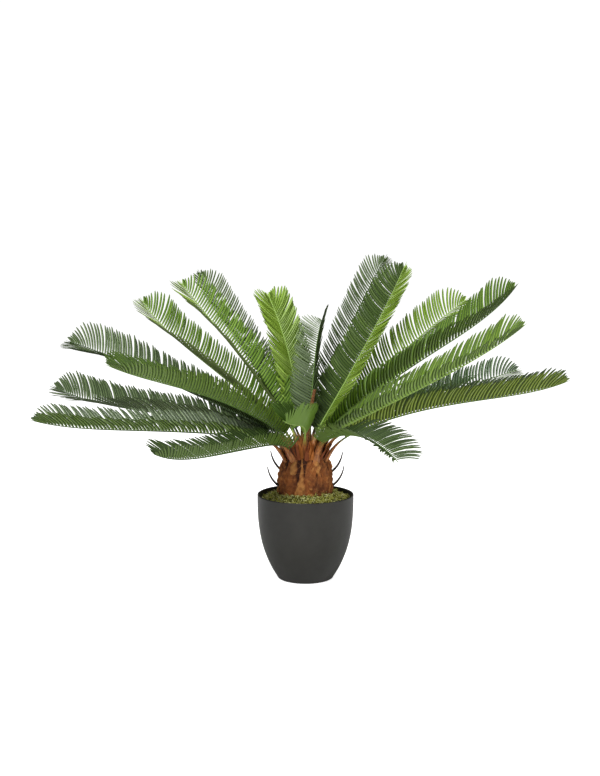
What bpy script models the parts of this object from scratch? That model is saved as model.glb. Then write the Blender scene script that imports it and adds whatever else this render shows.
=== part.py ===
"""An artificial sago palm in a plain round pot.

Metres, +Z up. The origin is the centre of the pot's flat underside, and the plant is seen
from -Y in its usual view. Azimuths are in degrees, 0 along +X and 270 towards the viewer.
"""

import math

import bmesh
import bpy
import numpy as np
from mathutils import Vector
from mathutils.bvhtree import BVHTree

CLEARANCE = 0.0003
AROUND = 60

# Pot: a thin moulded shell with a rounded foot and a plain lip.
POT_HEIGHT = 0.180
POT_RIM_RADIUS = 0.101
POT_FOOT_RADIUS = 0.0565
POT_UNDERSIDE_RADIUS = 0.0515
POT_FLARE_POWER = 2.78
POT_WALL = 0.0032
POT_FLOOR = 0.005
POT_LEVELS = (0.0045, 0.018, 0.036, 0.058, 0.084, 0.115, 0.150, 0.178)

# Filling: it rises in a mound of moss round the trunk, heaped higher on the side of its azimuth.
MOSS_AT_WALL = 0.160
MOSS_AT_TRUNK = 0.179
MOSS_HEAP = 0.0045
MOSS_HEAP_AZIMUTH = 300
MOSS_LUMP = 0.0018
SOCKET_FLOOR = 0.150

# Trunk: a short caudex of swollen leaf bases, cut flat where the petioles stand.
TRUNK_TOP = 0.256
TRUNK_LEVELS = (
    (0.1503, 0.0548), (0.1660, 0.0564), (0.1810, 0.0575), (0.1960, 0.0578), (0.2110, 0.0575),
    (0.2250, 0.0568), (0.2370, 0.0558), (0.2470, 0.0546), (0.2530, 0.0536), (TRUNK_TOP, 0.0522),
)
TRUNK_LOBES = 9
TRUNK_LOBE_AZIMUTH = 275
TRUNK_GROOVE = 0.0055

# Petiole seats on the trunk's flat top: ring radius, how far a petiole climbs before it leans out,
# and its inclination where it leaves the seat.
SEAT_RINGS = {
    "rim": (0.046, 0.050, 62),
    "outer": (0.045, 0.036, 84),
    "middle": (0.030, 0.044, 84),
    "tall": (0.030, 0.058, 84),
    "inner": (0.013, 0.048, 84),
}
PETIOLE_LENGTH = 0.060
PETIOLE_FOOT = (0.0115, 0.0080)
PETIOLE_TAPER = 0.020
RIB_START = (0.0042, 0.0036)
RIB_TIP = (0.0018, 0.0016)

# Leaflets: each is a slim spike, wider than life so that a few stand for the many, and leans more
# towards the frond's tip.
LEAFLET_PAIRS = 31
LEAFLET_LEAN_START = 64
LEAFLET_LEAN_LOSS = 8
LEAFLET_LEAN_TIP = 30
LEAFLET_TIP_ZONE = 0.84
LEAFLET_TIP_LOSS = 0.75
LEAFLET_CUTS = (1.0, 0.8, 0.6, 0.42)
LEAFLET_MARGIN = 0.0007
TIP_LEAFLET = 0.022

# Fronds, each by hand: seat ring, seat azimuth; azimuth, azimuth gained to the tip; inclination at the
# base and at the tip, extra lift of the tip; length; roll at the base and at the tip; leaflet length;
# fold of the leaflets at the base and at the tip.
FRONDS = {
    "frond_front_left": ("rim", 236, 228, 4, 2, -4, 28, 0.410, 0, 0, 0.062, 42, 42),
    "frond_front": ("tall", 264, 279, -32, 32, -4, 24, 0.270, 0, 0, 0.062, 60, 52),
    "frond_front_right": ("outer", 300, 307, 0, 40, -30, 0, 0.288, 0, 0, 0.070, 28, 30),
    "frond_left_1": ("middle", 214, 218, 0, 38, 4, 20, 0.500, 0, -10, 0.070, 42, 32),
    "frond_left_2": ("rim", 198, 190, 0, 10, -4, 20, 0.528, -6, -4, 0.066, 42, 46),
    "frond_left_3": ("outer", 170, 168, 0, 15, -2, 28, 0.538, 0, -30, 0.070, 42, 26),
    "frond_left_4": ("middle", 176, 160, 0, 20, 22, -8, 0.578, 0, -32, 0.078, 42, 26),
    "frond_left_5": ("middle", 142, 150, 0, 37, 25, 26, 0.506, 0, -22, 0.070, 42, 30),
    "frond_left_6": ("inner", 192, 140, 0, 48, 36, 6, 0.494, 0, -18, 0.068, 42, 30),
    "frond_right_6": ("middle", 314, 335, 0, 28, 28, 12, 0.530, 14, 22, 0.070, 36, 30),
    "frond_right_5": ("rim", 346, 346, 0, 31, -6, 30, 0.525, 0, -2, 0.069, 42, 42),
    "frond_right_4": ("middle", 350, 352, 0, 48, 20, 34, 0.540, 0, 26, 0.072, 42, 40),
    "frond_right_3": ("outer", 16, 18, 0, 22, 11, 4, 0.482, 8, 28, 0.068, 20, 14),
    "frond_right_2": ("middle", 28, 30, 0, 43, 32, -4, 0.500, 18, 26, 0.067, 36, 30),
    "frond_right_1": ("inner", 340, 42, 0, 48, 54, 4, 0.480, 20, 20, 0.060, 30, 26),
    "frond_back_1": ("inner", 120, 128, 0, 44, 36, 8, 0.535, -8, -16, 0.053, 42, 36),
    "frond_back_2": ("middle", 100, 101, 22, 70, 46, 4, 0.376, -12, -12, 0.066, 34, 28),
    "frond_back_3": ("outer", 112, 105, 0, 26, 20, 0, 0.440, 0, 0, 0.068, 42, 34),
    "frond_back_4": ("outer", 86, 91, 0, 8, 2, 6, 0.460, 0, 0, 0.068, 58, 50),
    "frond_back_5": ("inner", 50, 80, 0, 85, 42, -25, 0.334, -28, -28, 0.056, 42, 42),
    "frond_back_6": ("outer", 60, 65, 0, 8, 8, 0, 0.500, 0, 0, 0.070, 42, 34),
    "frond_back_7": ("middle", 66, 66, -18, 54, 48, 0, 0.508, 20, 20, 0.053, 42, 36),
    "frond_back_8": ("outer", 140, 134, 0, 3, -8, 6, 0.500, 0, 0, 0.070, 22, 22),
    "frond_back_9": ("outer", 36, 42, 0, 14, 4, 8, 0.480, 0, 0, 0.070, 42, 34),
}

# Dead scale tips that hook out of the trunk's side: azimuth and height of each foot.
SPINES = ((352, 0.200), (6, 0.226), (188, 0.199), (174, 0.229),
          (58, 0.204), (80, 0.229), (102, 0.202), (124, 0.224))
SPINE_LENGTH = 0.048
SPINE_RADIUS = 0.0018
SPINE_START = 38
SPINE_CURL = 46

# A short brown shoot that stands among the inner petioles.
SHOOT_HEIGHT = 0.140
SHOOT_LEAN = 0.019
SHOOT_RADIUS = 0.0046

COLOURS = {
    "pot": ((0.040, 0.039, 0.034), 0.62),
    "moss": ((0.160, 0.160, 0.036), 0.95),
    "trunk": ((0.200, 0.082, 0.024), 0.85),
    "frond": ((0.075, 0.150, 0.022), 0.55),
    "spine": ((0.060, 0.050, 0.040), 0.75),
    "shoot": ((0.180, 0.060, 0.030), 0.80),
}


def clear_scene():
    for obj in list(bpy.data.objects):
        bpy.data.objects.remove(obj, do_unlink=True)


def material(name):
    colour, roughness = COLOURS[name]
    made = bpy.data.materials.new(name)
    made.use_nodes = True
    shader = made.node_tree.nodes["Principled BSDF"]
    shader.inputs["Base Color"].default_value = (*colour, 1.0)
    shader.inputs["Roughness"].default_value = roughness
    shader.inputs["Metallic"].default_value = 0.0
    return made


def closed_object(name, points, faces, finish):
    """A mesh object with its faces turned outwards."""
    mesh = bpy.data.meshes.new(name)
    mesh.from_pydata([tuple(map(float, point)) for point in points], [], faces)
    shape = bmesh.new()
    shape.from_mesh(mesh)
    bmesh.ops.recalc_face_normals(shape, faces=shape.faces)
    if shape.calc_volume(signed=True) < 0:
        bmesh.ops.reverse_faces(shape, faces=shape.faces)
    shape.to_mesh(mesh)
    shape.free()
    mesh.materials.append(finish)
    obj = bpy.data.objects.new(name, mesh)
    bpy.context.scene.collection.objects.link(obj)
    return obj


def loft(name, rings, finish, smooth_angle=35):
    """Rings of equal count joined side by side, with the first and last closed by flat caps."""
    count = len(rings[0])
    points = np.concatenate(rings)
    step = np.arange(count)
    ahead = (step + 1) % count
    faces = []
    for level in range(len(rings) - 1):
        low = level * count
        high = low + count
        faces += [(low + a, low + b, high + b, high + a) for a, b in zip(step.tolist(), ahead.tolist())]
    faces.append(tuple(range(count)))
    faces.append(tuple(range(len(points) - count, len(points))))
    obj = closed_object(name, points, faces, finish)
    obj.data.shade_smooth()
    obj.data.set_sharp_from_angle(angle=math.radians(smooth_angle))
    return obj


def turns():
    return np.arange(AROUND) * math.tau / AROUND


def circle(radius, height):
    """One ring round the Z axis. The radius and height are numbers, or arrays with a value for each turn."""
    turn = turns()
    return np.stack([radius * np.cos(turn), radius * np.sin(turn), height + 0 * turn], axis=1)


def pot_radius(height):
    """The outer wall: steep at the rim and rounding in towards the foot."""
    fall = (1 - height / POT_HEIGHT) ** POT_FLARE_POWER
    return POT_RIM_RADIUS - (POT_RIM_RADIUS - POT_FOOT_RADIUS) * fall


def make_pot(finish):
    outer = [circle(pot_radius(z), z) for z in POT_LEVELS]
    inner = [circle(pot_radius(z) - POT_WALL, z) for z in reversed(POT_LEVELS) if z > POT_FLOOR]
    corner = circle((POT_UNDERSIDE_RADIUS + pot_radius(POT_LEVELS[0])) / 2 + 0.0009, 0.0012)
    lip = circle(POT_RIM_RADIUS - POT_WALL / 2, POT_HEIGHT)
    floor = circle(pot_radius(POT_FLOOR) - POT_WALL, POT_FLOOR)
    return loft("pot", [circle(POT_UNDERSIDE_RADIUS, 0.0), corner, *outer, lip, *inner, floor], finish)


def trunk_ring(height, radius):
    """One outline of the trunk: rounded lobes with sharp grooves between them, fading at the cut top."""
    turn = turns()
    lobe = np.abs(np.cos(TRUNK_LOBES / 2 * (turn - math.radians(TRUNK_LOBE_AZIMUTH)))) ** 0.6
    depth = TRUNK_GROOVE * min(1.0, 0.25 + (TRUNK_TOP - height) / 0.030)
    return circle(radius - depth * (1 - lobe), height)


def make_trunk(finish):
    return loft("trunk", [trunk_ring(z, r) for z, r in TRUNK_LEVELS], finish, 50)


def make_filling(finish):
    """A plug inside the pot, with the trunk's foot let into its mossy top."""
    gap = POT_WALL + CLEARANCE
    underside = POT_FLOOR + CLEARANCE
    wall = [z for z in POT_LEVELS if underside + 0.005 < z < MOSS_AT_WALL]
    rings = [circle(pot_radius(underside) - gap, underside)]
    rings += [circle(pot_radius(z) - gap, z) for z in wall]
    edge = pot_radius(MOSS_AT_WALL) - gap
    rings.append(circle(edge, MOSS_AT_WALL))
    foot_height, foot_radius = TRUNK_LEVELS[0]
    socket = np.hypot(*trunk_ring(foot_height, TRUNK_LEVELS[2][1])[:, :2].T) + 2 * CLEARANCE
    turn = turns()
    for share in (0.25, 0.6, 1.0):
        heap = MOSS_HEAP * np.cos(turn - math.radians(MOSS_HEAP_AZIMUTH)) * share
        rise = MOSS_AT_WALL + (MOSS_AT_TRUNK - MOSS_AT_WALL) * share ** 0.7 + heap
        lumps = MOSS_LUMP * (np.sin(7 * turn + 4 * share) + np.sin(11 * turn + 9 * share))
        rings.append(circle(edge + (socket - edge) * share, rise + lumps))
    foot = trunk_ring(foot_height, foot_radius)
    rings.append(circle(np.hypot(foot[:, 0], foot[:, 1]) + 2 * CLEARANCE, SOCKET_FLOOR))
    return loft("moss_filling", rings, finish, 60)


def heading(azimuth, inclination):
    """Unit vectors for arrays of azimuth and inclination in radians."""
    level = np.cos(inclination)
    return np.stack([level * np.cos(azimuth), level * np.sin(azimuth), np.sin(inclination)], axis=-1)


def ease(start, end, value):
    """0 before start and 1 after end, with a smooth rise between."""
    share = np.clip((value - start) / (end - start), 0, 1)
    return share * share * (3 - 2 * share)


def frond_line(design, steps=240):
    """The rib's path: distance along it, points, and the directions along, across and above it.

    The inclination runs evenly from base to tip, with a lift by the fifth power near the tip,
    and a steep start that dies away over the petiole's climb.
    """
    ring, seat, azimuth, gain, base, tip, lift, length, roll, tip_roll, *_ = design
    radius, climb, start = SEAT_RINGS[ring]
    share = np.linspace(0, 1, steps + 1)
    distance = share * length
    inclination = np.radians(base + (tip - base) * share + lift * share**5)
    inclination += (math.radians(start) - inclination[0]) * np.exp(-((distance / climb) ** 2))
    bearing = np.radians(azimuth + gain * share)
    along = heading(bearing, inclination)
    step = (along[1:] + along[:-1]) / 2 * (length / steps)
    angle = math.radians(seat)
    foot = np.array([radius * math.cos(angle), radius * math.sin(angle), TRUNK_TOP + CLEARANCE])
    points = np.vstack([foot, foot + np.cumsum(step, axis=0)])
    across = np.stack([-np.sin(bearing), np.cos(bearing), 0 * bearing], axis=-1)
    above = np.cross(along, across)
    turn = np.radians(roll + (tip_roll - roll) * ease(0.5, 1, share))[:, None]
    rolled = across * np.cos(turn) + above * np.sin(turn)
    return distance, points, along, rolled, above * np.cos(turn) - across * np.sin(turn)


def rib_size(distance, length):
    """Width and thickness of the rib: a broad foot, then an even taper to the tip."""
    foot = np.exp(-distance / PETIOLE_TAPER)[:, None]
    share = (distance / length)[:, None]
    rib = np.array(RIB_START) * (1 - share) + np.array(RIB_TIP) * share
    return rib + (np.array(PETIOLE_FOOT) - rib) * foot


def frond_stations(length):
    """Distances of the rib's cross-sections: a few on the petiole, then one at each leaflet's edge."""
    petiole = np.linspace(0, PETIOLE_LENGTH, 6)
    blade = np.linspace(PETIOLE_LENGTH, length, LEAFLET_PAIRS + 1)
    return petiole, np.concatenate([petiole, blade[1:]])


class Frond:
    """One frond's rib sections and the leaflets that it would have with nothing in their way."""

    def __init__(self, name, design):
        self.name = name
        length = design[7]
        leaflet, fold, tip_fold = design[10:]
        distance, points, along, across, above = frond_line(design)
        petiole, stations = frond_stations(length)
        self.bare = len(petiole) - 1

        def at(values, where):
            return np.stack([np.interp(where, distance, values[:, axis]) for axis in range(3)], axis=-1)

        size = rib_size(stations, length) / 2
        side, top = at(across, stations) * size[:, :1], at(above, stations) * size[:, 1:]
        centre = at(points, stations)
        self.corners = np.stack([centre + side + top, centre - side + top,
                                 centre - side - top, centre + side - top], 1)
        self.corners[0, :, 2] = TRUNK_TOP + CLEARANCE
        self.point = centre[-1] + at(along, stations)[-1] * TIP_LEAFLET
        middle = (stations[self.bare:-1] + stations[self.bare + 1:]) / 2
        share = (middle - PETIOLE_LENGTH) / (length - PETIOLE_LENGTH)
        ending = ease(LEAFLET_TIP_ZONE, 1, share)
        lean = np.radians(LEAFLET_LEAN_START - LEAFLET_LEAN_LOSS * share - LEAFLET_LEAN_TIP * ending)
        reach = leaflet * (0.55 + 0.45 * ease(0, 0.2, share)) * (1 - LEAFLET_TIP_LOSS * ending**2)
        start, forward = at(points, middle), at(along, middle) * np.cos(lean)[:, None]
        fold = np.radians(fold + (tip_fold - fold) * ease(0.5, 1, share))[:, None]
        outward, upward = at(across, middle) * np.cos(fold), at(above, middle) * np.sin(fold)
        spread = np.sin(lean)[:, None]
        self.roots = start
        self.reaches = [(forward + spread * (sign * outward + upward)) * reach[:, None] for sign in (1, -1)]
        self.shares = np.zeros((2, len(middle)))

    def rib_faces(self):
        """The bare rib, as points and faces, for testing what would touch it."""
        points = np.vstack([self.corners.reshape(-1, 3), self.point])
        faces = []
        for low in range(0, 4 * (len(self.corners) - 1), 4):
            faces += [(low + a, low + b, low + 4 + b, low + 4 + a)
                      for a, b in ((0, 1), (1, 2), (2, 3), (3, 0))]
        last = len(points) - 5
        faces += [(last + a, last + b, len(points) - 1) for a, b in ((0, 1), (1, 2), (2, 3), (3, 0))]
        return points, faces

    def leaflet_probe(self, side, index, cut):
        """A leaflet's spike with a margin round it, as points and faces."""
        level = self.bare + index
        first, second = (0, 3) if side == 0 else (1, 2)
        base = self.corners[[level, level, level + 1, level + 1], [first, second, second, first]]
        centre = base.mean(axis=0)
        base = centre + (base - centre) * 1.15
        reach = self.reaches[side][index] * cut
        size = np.linalg.norm(reach)
        tip = self.roots[index] + reach * (1 + 2 * LEAFLET_MARGIN / size)
        narrow = (base - centre) / np.linalg.norm(base - centre, axis=1, keepdims=True) * 2 * LEAFLET_MARGIN
        points = np.vstack([base + reach * (4 * LEAFLET_MARGIN / size), tip + narrow])
        faces = [(0, 1, 5, 4), (1, 2, 6, 5), (2, 3, 7, 6), (3, 0, 4, 7), (4, 5, 6, 7)]
        return points, faces

    def mesh(self):
        """The whole frond: each kept leaflet takes the place of one side face of the rib."""
        points = [tuple(point) for point in self.corners.reshape(-1, 3)]
        faces = [(0, 1, 2, 3)]
        for level in range(len(self.corners) - 1):
            low, high = 4 * level, 4 * level + 4
            faces += [(low, low + 1, high + 1, high), (low + 2, low + 3, high + 3, high + 2)]
            for side, (first, second) in enumerate(((0, 3), (1, 2))):
                quad = (low + first, low + second, high + second, high + first)
                index = level - self.bare
                cut = self.shares[side][index] if index >= 0 else 0
                if cut == 0:
                    faces.append(quad)
                    continue
                points.append(tuple(self.roots[index] + self.reaches[side][index] * cut))
                tip = len(points) - 1
                faces += [(quad[n], quad[(n + 1) % 4], tip) for n in range(4)]
        points.append(tuple(self.point))
        last = 4 * (len(self.corners) - 1)
        faces += [(last + a, last + b, len(points) - 1) for a, b in ((0, 1), (1, 2), (2, 3), (3, 0))]
        return points, faces


def tree_of(points, faces):
    return BVHTree.FromPolygons([Vector(map(float, point)) for point in points], faces)


def tree_of_object(obj):
    mesh = obj.data
    return BVHTree.FromPolygons([vertex.co for vertex in mesh.vertices],
                                [tuple(face.vertices) for face in mesh.polygons])


def fit_leaflets(fronds, solids):
    """Shortens or leaves out each leaflet that would touch the trunk, the pot or another frond."""
    ribs = {frond.name: tree_of(*frond.rib_faces()) for frond in fronds}
    done = []
    for frond in fronds:
        others = solids + [tree for name, tree in ribs.items() if name != frond.name] + done
        for side in range(2):
            for index in range(len(frond.roots)):
                for cut in LEAFLET_CUTS:
                    probe = tree_of(*frond.leaflet_probe(side, index, cut))
                    if not any(probe.overlap(tree) for tree in others):
                        frond.shares[side][index] = cut
                        break
        done.append(tree_of(*frond.mesh()))


def make_fronds(solids, finish):
    fronds = [Frond(name, design) for name, design in FRONDS.items()]
    fit_leaflets(fronds, solids)
    for frond in fronds:
        closed_object(frond.name, *frond.mesh(), finish)


def trunk_side(azimuth, height, reach=0.0019):
    """The trunk's widest radius within a small patch of its side."""
    levels, radii = zip(*TRUNK_LEVELS)
    widest = 0.0
    for near in (height - reach, height, height + reach):
        outline = np.hypot(*trunk_ring(near, np.interp(near, levels, radii))[:, :2].T)
        turn = math.radians(azimuth) + np.array([-1, 0, 1]) * reach / 0.06
        there = np.interp(turn, np.append(turns(), math.tau), np.append(outline, outline[0]), period=math.tau)
        widest = max(widest, there.max())
    return widest


def make_spine(number, azimuth, height, finish):
    """A thin hook: a tapered tube whose foot lies flat against the trunk and whose tip curls up."""
    share = np.linspace(0, 1, 7)
    inclination = np.radians(SPINE_START + SPINE_CURL * share)
    bearing = np.full_like(share, math.radians(azimuth))
    along = heading(bearing, inclination)
    out = heading(bearing[:1], np.zeros(1))[0]
    across = np.array([-out[1], out[0], 0.0])
    foot = out * (trunk_side(azimuth, height) + CLEARANCE) + np.array([0, 0, height])
    centre = np.vstack([foot, foot + np.cumsum((along[1:] + along[:-1]) / 2 * SPINE_LENGTH / 6, axis=0)])
    above = np.cross(along, across)
    above[0] = (0, 0, 1)
    radius = SPINE_RADIUS * (1 - 0.65 * share)[:, None]
    rings = []
    for turn in np.arange(5) * math.tau / 5:
        rings.append(centre + radius * (across * math.cos(turn) + above * math.sin(turn)))
    return loft(f"spine_{number}", list(np.stack(rings, axis=1)), finish, 60)


def make_shoot(finish):
    """A slim tapered stalk that leans a little to the right."""
    share = np.linspace(0, 1, 8)[:, None]
    turn = np.arange(6) * math.tau / 6
    radius = SHOOT_RADIUS * (1 - 0.35 * share) * (1 + 0.12 * np.sin(9 * share))
    east = SHOOT_LEAN * share**1.5 + radius * np.cos(turn)
    north = radius * np.sin(turn)
    height = TRUNK_TOP + CLEARANCE + SHOOT_HEIGHT * share + 0 * turn
    return loft("centre_shoot", list(np.stack([east, north, height], axis=2)), finish, 60)


def main():
    clear_scene()
    finishes = {name: material(name) for name in COLOURS}
    solids = [make_pot(finishes["pot"]), make_filling(finishes["moss"]), make_trunk(finishes["trunk"])]
    solids.append(make_shoot(finishes["shoot"]))
    for number, (azimuth, height) in enumerate(SPINES, start=1):
        solids.append(make_spine(number, azimuth, height, finishes["spine"]))
    make_fronds([tree_of_object(obj) for obj in solids], finishes["frond"])


main()
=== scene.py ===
import math

import bpy
import numpy as np
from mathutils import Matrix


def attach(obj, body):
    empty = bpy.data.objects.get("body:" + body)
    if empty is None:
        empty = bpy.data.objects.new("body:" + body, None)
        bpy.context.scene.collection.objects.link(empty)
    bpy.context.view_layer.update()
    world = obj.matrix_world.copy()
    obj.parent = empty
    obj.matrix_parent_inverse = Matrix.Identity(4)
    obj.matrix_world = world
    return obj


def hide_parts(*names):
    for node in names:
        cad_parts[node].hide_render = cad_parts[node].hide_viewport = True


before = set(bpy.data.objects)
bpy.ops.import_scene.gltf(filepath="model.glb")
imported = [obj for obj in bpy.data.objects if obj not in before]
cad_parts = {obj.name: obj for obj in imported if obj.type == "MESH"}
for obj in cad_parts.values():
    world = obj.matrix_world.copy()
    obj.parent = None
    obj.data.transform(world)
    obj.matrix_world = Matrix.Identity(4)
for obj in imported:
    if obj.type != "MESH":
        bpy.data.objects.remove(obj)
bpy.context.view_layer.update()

# Metres, +Z up, the viewer at -Y. Azimuths are in degrees: 0 along +X and 270 towards the viewer.
# Every piece stands where its CAD node stands, and rides on the one body, "root".


def ease(start, end, value):
    # 0 before start, 1 after end, 3s^2 - 2s^3 between
    share = np.clip((value - start) / (end - start), 0, 1)
    return share * share * (3 - 2 * share)


def heading(azimuth, inclination):
    # unit vectors from azimuth and inclination, both in radians
    level = np.cos(inclination)
    return np.stack([level * np.cos(azimuth), level * np.sin(azimuth), np.sin(inclination)], axis=-1)


def unit(vectors):
    # each vector divided by its own length
    return vectors / np.linalg.norm(vectors, axis=-1, keepdims=True)


def walk(start, course, strides):
    # a path from start: the running sum of strides, each in the mean direction of its two ends
    steps = (course[..., 1:, :] + course[..., :-1, :]) / 2 * strides
    return start + np.concatenate([0 * course[..., :1, :], np.cumsum(steps, axis=-2)], axis=-2)


def along(values, distance, where):
    # the rows of values, known at distance, read off at where
    columns = [np.interp(where, distance, values[:, axis]) for axis in range(values.shape[1])]
    return np.stack(columns, axis=-1)


def tint(red, green, blue):
    # a colour as the eye names it, 0 to 255, turned into the linear values that a shader takes
    share = np.array([red, green, blue]) / 255
    linear = np.where(share <= 0.04045, share / 12.92, ((share + 0.055) / 1.055) ** 2.4)
    return (*linear.tolist(), 1.0)


# painted shade: the leaflets' shaded halves take darker, cooler copies of their colours
paintShadeCooling = 0.92  # share of its red that a darker neighbour keeps besides


def paintShade(colour, share):
    # a darker copy of a colour, a little cooler: painted shade for a leaflet's other half
    red, green, blue, _ = colour
    return red * share * paintShadeCooling, green * share, blue * share, 1.0


def waves(seed, count, turns, climbs, angle, height):
    # count sines summed, each of a whole number of turns round the axis and a climb up it, so that the
    # seam closes; divided by sqrt(count / 2), so that the sum's spread is about 1
    dice = np.random.default_rng(seed)
    whole = dice.integers(turns[0], turns[1] + 1, count)
    rise = dice.uniform(*climbs, count)
    shift = dice.uniform(0, math.tau, count)
    total = 0.0
    for turn, climb, offset in zip(whole, rise, shift):
        total = total + np.sin(turn * angle + climb * height + offset)
    return total / math.sqrt(count / 2)


def evenTurn(count):
    # count even angles round a whole turn
    return np.arange(count) * math.tau / count


def roundAxis(radius, angle, height):
    # points at a radius, an angle and a height round the Z axis, all three broadcast together
    return np.stack([radius * np.cos(angle), radius * np.sin(angle), height + 0 * angle], axis=-1)


def gridFaces(rows, columns):
    # quads of a grid of points stored row by row, whose last column joins its first
    row, column = np.meshgrid(np.arange(rows - 1), np.arange(columns), indexing="ij")
    ahead = (column + 1) % columns
    quads = np.stack([row * columns + column, row * columns + ahead,
                      (row + 1) * columns + ahead, (row + 1) * columns + column], axis=-1)
    return quads.reshape(-1, 4)


def fanFaces(ring, centre, outward):
    # triangles from a ring of point numbers to one centre point; -1 marks the missing fourth corner
    ahead = np.roll(ring, -1)
    first, second = (ring, ahead) if outward else (ahead, ring)
    return np.stack([first, second, 0 * ring + centre, 0 * ring - 1], axis=-1)


def tubeFaces(rows, columns):
    # the wall between the rings, and a fan over each end to the two points that follow the rings' own
    last = rows * columns
    return np.vstack([gridFaces(rows, columns), fanFaces(np.arange(columns), last, False),
                      fanFaces(np.arange(last - columns, last), last + 1, True)])


def closedTube(rings):
    # rings of equal count that run counter-clockwise round the way they go
    points = np.vstack([rings.reshape(-1, 3), rings[0].mean(axis=0), rings[-1].mean(axis=0)])
    return points, tubeFaces(*rings.shape[:2])


def repeatFaces(shell, count, points):
    # the faces of one copy, repeated for count copies that have so many points each
    offset = (np.arange(count) * points)[:, None, None]
    return np.where(shell[None] < 0, -1, shell[None] + offset).reshape(-1, 4)


def newNodes(tree, *kinds):
    # one shader node of each kind
    return [tree.nodes.new(f"ShaderNode{kind}") for kind in kinds]


def fill(node, values):
    # the default values of the inputs that are named
    for name, value in values.items():
        node.inputs[name].default_value = value


def join(tree, *wires):
    # each wire runs from an output of one node to an input of another
    for source, output, target, entry in wires:
        tree.links.new(source.outputs[output], target.inputs[entry])


def addObject(name, data):
    # an object with that data, in the scene
    made = bpy.data.objects.new(name, data)
    bpy.context.scene.collection.objects.link(made)
    return made


def addPiece(name, points, faces, finishes, stands=(), slots=None, values=None, crease=40):
    # one mesh object from arrays, at the origin, riding on the root body
    mesh = bpy.data.meshes.new(name)
    used = faces >= 0
    sizes = used.sum(axis=1)
    mesh.vertices.add(len(points))
    mesh.vertices.foreach_set("co", points.astype(np.float32).ravel())
    mesh.loops.add(int(sizes.sum()))
    mesh.loops.foreach_set("vertex_index", faces[used].astype(np.int32))
    mesh.polygons.add(len(faces))
    mesh.polygons.foreach_set("loop_start", (np.cumsum(sizes) - sizes).astype(np.int32))
    for finish in finishes:
        mesh.materials.append(finish)
    if slots is not None:
        mesh.polygons.foreach_set("material_index", slots.astype(np.int32))
    for key, column in (values or {}).items():
        attribute = mesh.attributes.new(key, "FLOAT", "POINT")
        attribute.data.foreach_set("value", column.astype(np.float32))
    mesh.update(calc_edges=True)
    mesh.validate()
    mesh.shade_smooth()
    mesh.set_sharp_from_angle(angle=math.radians(crease))
    piece = addObject(name, mesh)
    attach(piece, "root")
    if stands:
        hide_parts(*stands)


def mottleGroup():
    # noise on Object coordinates turned into a colour between two, and a height for a bump
    group = bpy.data.node_groups.new("mottle", "ShaderNodeTree")
    face, colour, number = group.interface, "NodeSocketColor", "NodeSocketFloat"
    for name, kind, value in (("Dark", colour, (0, 0, 0, 1)), ("Light", colour, (1, 1, 1, 1)),
                              ("Scale", number, 100.0), ("Stretch", number, 1.0)):
        face.new_socket(name, in_out="INPUT", socket_type=kind).default_value = value
    face.new_socket("Colour", in_out="OUTPUT", socket_type=colour)
    face.new_socket("Height", in_out="OUTPUT", socket_type=number)
    inside, outside = group.nodes.new("NodeGroupInput"), group.nodes.new("NodeGroupOutput")
    place, squash, stretched, noise, span, blend = newNodes(
        group, "TexCoord", "CombineXYZ", "VectorMath", "TexNoise", "MapRange", "Mix")
    stretched.operation = "MULTIPLY"
    fill(squash, {"X": 1.0, "Y": 1.0})
    fill(noise, {"Detail": 4.0, "Roughness": 0.62})
    fill(span, {"From Min": 0.35, "From Max": 0.65})
    blend.data_type = "RGBA"
    join(group, (inside, "Stretch", squash, "Z"), (place, "Object", stretched, 0),
         (squash, "Vector", stretched, 1), (stretched, "Vector", noise, "Vector"),
         (inside, "Scale", noise, "Scale"), (noise, "Fac", span, "Value"),
         (span, "Result", blend, "Factor"), (inside, "Dark", blend, "A"), (inside, "Light", blend, "B"),
         (blend, "Result", outside, "Colour"), (noise, "Fac", outside, "Height"))
    return group


mottle = mottleGroup()


def finish(name, roughness, colour=(0.5, 0.5, 0.5, 1.0), specular=0.5):
    # a plain finish, ready for nodes to be linked into it
    made = bpy.data.materials.new(name)
    made.use_nodes = True
    fill(made.node_tree.nodes["Principled BSDF"],
         {"Base Color": colour, "Roughness": roughness, "Specular IOR Level": specular})
    return made


def addMottle(made, dark=(0, 0, 0, 1), light=(1, 1, 1, 1), scale=100.0, stretch=1.0):
    # one mottle group in a material, with its own colours and scale
    node = made.node_tree.nodes.new("ShaderNodeGroup")
    node.node_tree = mottle
    fill(node, {"Dark": dark, "Light": light, "Scale": scale, "Stretch": stretch})
    return node


def addBump(made, height, distance, strength):
    # a bump of that height socket on the shader's normal
    tree = made.node_tree
    bump, = newNodes(tree, "Bump")
    fill(bump, {"Distance": distance, "Strength": strength})
    tree.links.new(height, bump.inputs["Height"])
    join(tree, (bump, "Normal", tree.nodes["Principled BSDF"], "Normal"))


def addBlend(made, factor, first, second, low=0.0, high=1.0):
    # colour socket that goes from first to second as the point value named factor goes from low to high
    tree = made.node_tree
    value, span, blend = newNodes(tree, "Attribute", "MapRange", "Mix")
    value.attribute_name = factor
    fill(span, {"From Min": low, "From Max": high})
    blend.data_type = "RGBA"
    join(tree, (value, "Fac", span, "Value"), (span, "Result", blend, "Factor"))
    for name, colour in (("A", first), ("B", second)):
        if isinstance(colour, tuple):
            blend.inputs[name].default_value = colour
        else:
            tree.links.new(colour, blend.inputs[name])
    return blend.outputs["Result"]


def baseColour(made, socket):
    # the socket drives the shader's base colour
    made.node_tree.links.new(socket, made.node_tree.nodes["Principled BSDF"].inputs["Base Color"])


def mottledFinish(name, form, scale, stretch=1.0, bump=None):
    # a finish that mottles between the form's two tints, with a bump of that depth and strength if any
    made = finish(name, form["roughness"], specular=form["specular"])
    node = addMottle(made, *form["tints"], scale, stretch)
    baseColour(made, node.outputs["Colour"])
    if bump:
        addBump(made, node.outputs["Height"], *bump)
    return made


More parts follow.
